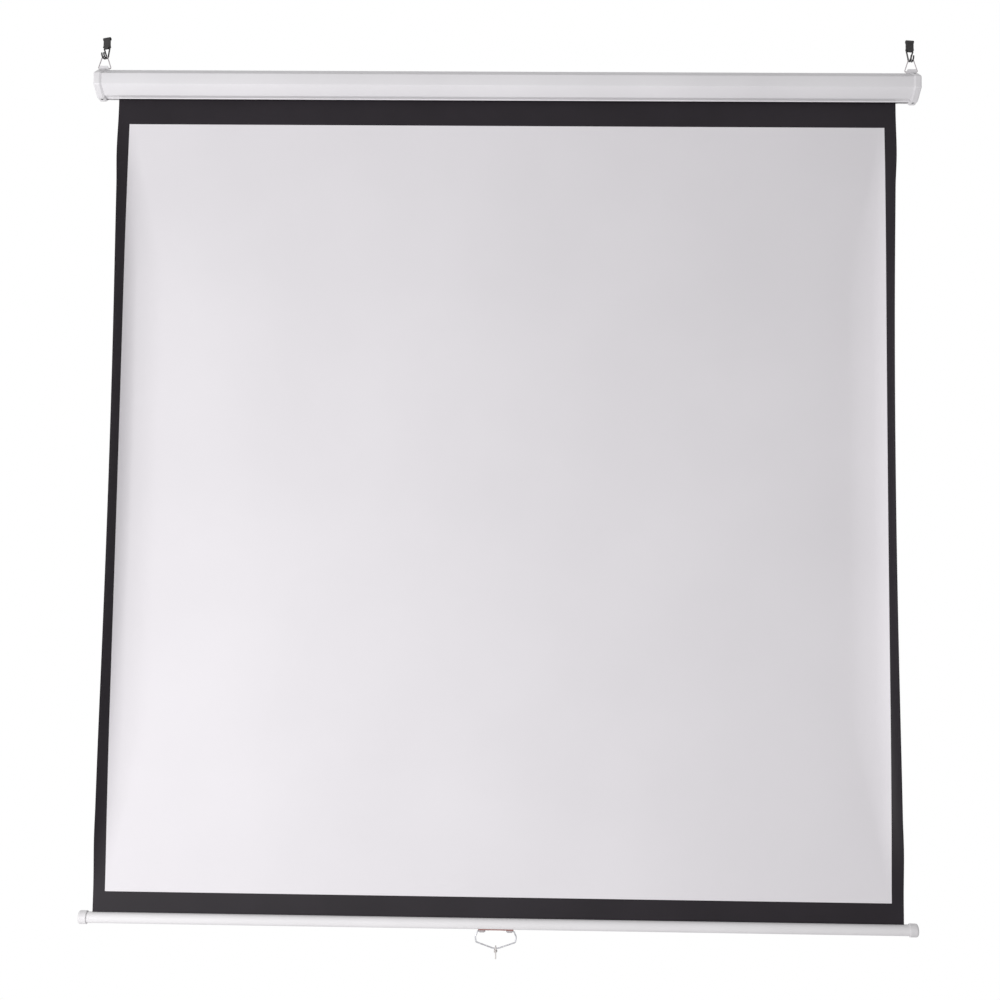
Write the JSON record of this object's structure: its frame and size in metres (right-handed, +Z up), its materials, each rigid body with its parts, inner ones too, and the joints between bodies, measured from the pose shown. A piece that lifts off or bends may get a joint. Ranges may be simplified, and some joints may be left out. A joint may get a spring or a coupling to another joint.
{
  "type": "pull-down projection screen",
  "caption": "Wall-hung manual projection screen: faceted case with spring roller, black-bordered fabric, round weight bar, wire pull handle and hanging rings on strap hooks",
  "frame": {"origin": "midway along the case, on the wall plane behind the end caps, at mid height of the case's upright faces", "axes": "X along the case to the right as the screen is viewed, Y back into the wall, Z up"},
  "size_m": [1.9356, 0.0899, 2.1335],
  "materials": {
    "case_paint": "white baked enamel, satin",
    "cap_plastic": "white moulded plastic",
    "zinc_steel": "zinc plated",
    "spring_steel": "oiled spring wire",
    "nylon": "natural nylon",
    "roller_metal": "plain tube",
    "screen_cloth": "matt white coated fabric with black borders",
    "bar_paint": "white baked enamel, satin",
    "bar_cap_plastic": "white moulded plastic",
    "strip_brown": "reddish-brown strip",
    "clip_plastic": "pale grey plastic",
    "plated_wire": "bright plated wire",
    "hook_coat": "black dipped coating over steel wire",
    "webbing": "black woven webbing",
    "cord_white": "white braided cord"
  },
  "bodies": {
    "housing": {"case_shell": "case_paint", "left_end_cap": "cap_plastic", "right_end_cap": "cap_plastic", "cap_screws": "zinc_steel", "idle_bracket": "zinc_steel", "spring_bracket": "zinc_steel", "bracket_screws": "zinc_steel", "idle_bush": "nylon", "spindle": "zinc_steel", "lock_wheel": "zinc_steel", "spring_collar": "nylon", "drive_spring": "spring_steel", "screen_fabric": "screen_cloth"},
    "roller": {"roller_tube": "roller_metal", "wound_fabric": "screen_cloth", "idle_plug": "nylon", "idle_pin": "zinc_steel", "ratchet_plug": "nylon", "spring_anchor": "nylon", "pawl_pin": "zinc_steel"},
    "pawl": {"pawl": "zinc_steel"},
    "bar": {"weight_bar": "bar_paint", "left_bar_cap": "bar_cap_plastic", "right_bar_cap": "bar_cap_plastic", "hem_rod": "zinc_steel", "hem_loop": "screen_cloth", "handle_strip": "strip_brown", "strip_rivets": "zinc_steel", "handle_clips": "clip_plastic"},
    "handle": {"pull_handle": "plated_wire"},
    "cord": {"pull_cord": "cord_white", "cord_knot": "cord_white"},
    "left_ring": {"left_ring": "plated_wire"},
    "right_ring": {"right_ring": "plated_wire"},
    "left_hook": {"left_hook": "hook_coat", "left_strap": "webbing"},
    "right_hook": {"right_hook": "hook_coat", "right_strap": "webbing"}
  },
  "joints": [
    {"name": "screen_drop", "type": "slide", "parent": "housing", "child": "bar", "axis": [0, 0, 1], "range_m": [0, 1.882], "deforming": ["screen_fabric"]},
    {"name": "roller_spin", "type": "hinge", "parent": "housing", "child": "roller", "pos_m": [0, -0.0539, 0.002], "axis": [1, 0, 0], "range_deg": [0, 5400.2]},
    {"name": "pawl_swing", "type": "hinge", "parent": "roller", "child": "pawl", "pos_m": [0.9465, -0.0444, -0.01], "axis": [-1, 0, 0], "range_deg": [0, 14]},
    {"name": "handle_swing", "type": "hinge", "parent": "bar", "child": "handle", "pos_m": [0, -0.03665, -1.9533], "axis": [1, 0, 0], "range_deg": [-85, 55]},
    {"name": "cord_swing", "type": "hinge", "parent": "handle", "child": "cord", "pos_m": [0, -0.03665, -1.9905], "axis": [1, 0, 0], "range_deg": [-85, 85]},
    {"name": "left_ring_swing", "type": "hinge", "parent": "housing", "child": "left_ring", "pos_m": [-0.952, -0.04265, 0.0395], "axis": [1, 0, 0], "range_deg": [-75, 75]},
    {"name": "left_hook_swing", "type": "hinge", "parent": "left_ring", "child": "left_hook", "pos_m": [-0.952, -0.04265, 0.0685], "axis": [1, 0, 0], "range_deg": [-30, 30]},
    {"name": "right_ring_swing", "type": "hinge", "parent": "housing", "child": "right_ring", "pos_m": [0.952, -0.04265, 0.0395], "axis": [1, 0, 0], "range_deg": [-75, 75]},
    {"name": "right_hook_swing", "type": "hinge", "parent": "right_ring", "child": "right_hook", "pos_m": [0.952, -0.04265, 0.0685], "axis": [1, 0, 0], "range_deg": [-30, 30]}
  ],
  "couplings": [
    {"joint": "roller_spin", "follows": "screen_drop", "rad_per_m": 50.079}
  ]
}
